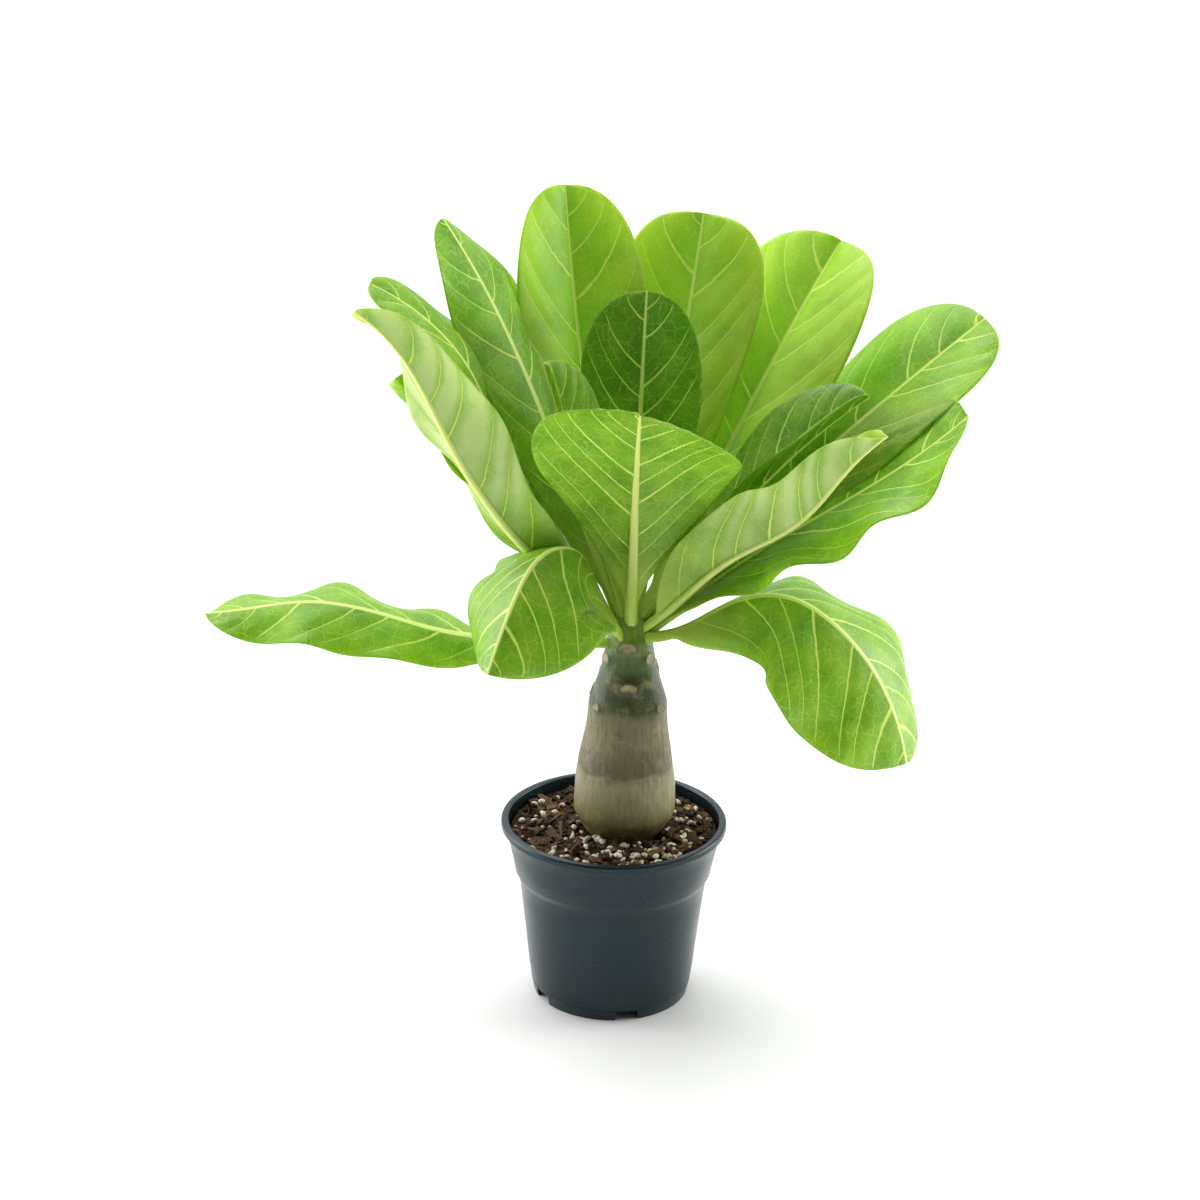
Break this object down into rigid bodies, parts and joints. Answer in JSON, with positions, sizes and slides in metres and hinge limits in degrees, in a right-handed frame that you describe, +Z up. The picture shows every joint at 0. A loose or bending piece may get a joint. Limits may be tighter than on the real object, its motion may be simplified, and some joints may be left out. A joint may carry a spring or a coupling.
{
  "type": "potted hawaiian palm",
  "caption": "Potted Hawaiian palm with a swollen bare stem and a rosette of large spoon-shaped leaves, in a plain tapered nursery pot.",
  "frame": {"origin": "centre of the pot's underside, where it stands on the ground", "axes": "+Z is up along the pot's axis, -Y faces the viewer, +X is to the viewer's right"},
  "size_m": [0.4409, 0.2173, 0.452],
  "materials": {
    "pot": "satin, injection moulded",
    "soil": "loose peat and bark compost with perlite",
    "stem": "smooth swollen bark",
    "leaf_back": "thin living leaf, satin",
    "leaf_back_right": "thin living leaf, satin",
    "leaf_right_high": "thin living leaf, satin",
    "leaf_right_upper": "thin living leaf, satin",
    "leaf_right_broad": "thin living leaf, satin",
    "leaf_right_cupped": "thin living leaf, satin",
    "leaf_right_narrow": "thin living leaf, satin",
    "leaf_front": "thin living leaf, satin",
    "leaf_heart": "thin living leaf, satin",
    "leaf_left_high": "thin living leaf, satin",
    "leaf_young": "thin living leaf, satin",
    "leaf_left_back": "thin living leaf, satin",
    "leaf_left_pale": "thin living leaf, satin",
    "leaf_left_low": "thin living leaf, satin",
    "leaf_left_level": "thin living leaf, satin",
    "leaf_left_bent": "thin living leaf, satin",
    "leaf_right_bent": "thin living leaf, satin"
  },
  "bodies": {
    "root": {"pot": "pot", "soil": "soil", "stem": "stem", "leaf_back": "leaf_back", "leaf_back_right": "leaf_back_right", "leaf_right_high": "leaf_right_high", "leaf_right_upper": "leaf_right_upper", "leaf_right_broad": "leaf_right_broad", "leaf_right_cupped": "leaf_right_cupped", "leaf_right_narrow": "leaf_right_narrow", "leaf_front": "leaf_front", "leaf_heart": "leaf_heart", "leaf_left_high": "leaf_left_high", "leaf_young": "leaf_young", "leaf_left_back": "leaf_left_back", "leaf_left_pale": "leaf_left_pale", "leaf_left_low": "leaf_left_low", "leaf_left_level": "leaf_left_level", "leaf_left_bent": "leaf_left_bent", "leaf_right_bent": "leaf_right_bent"}
  },
  "joints": []
}
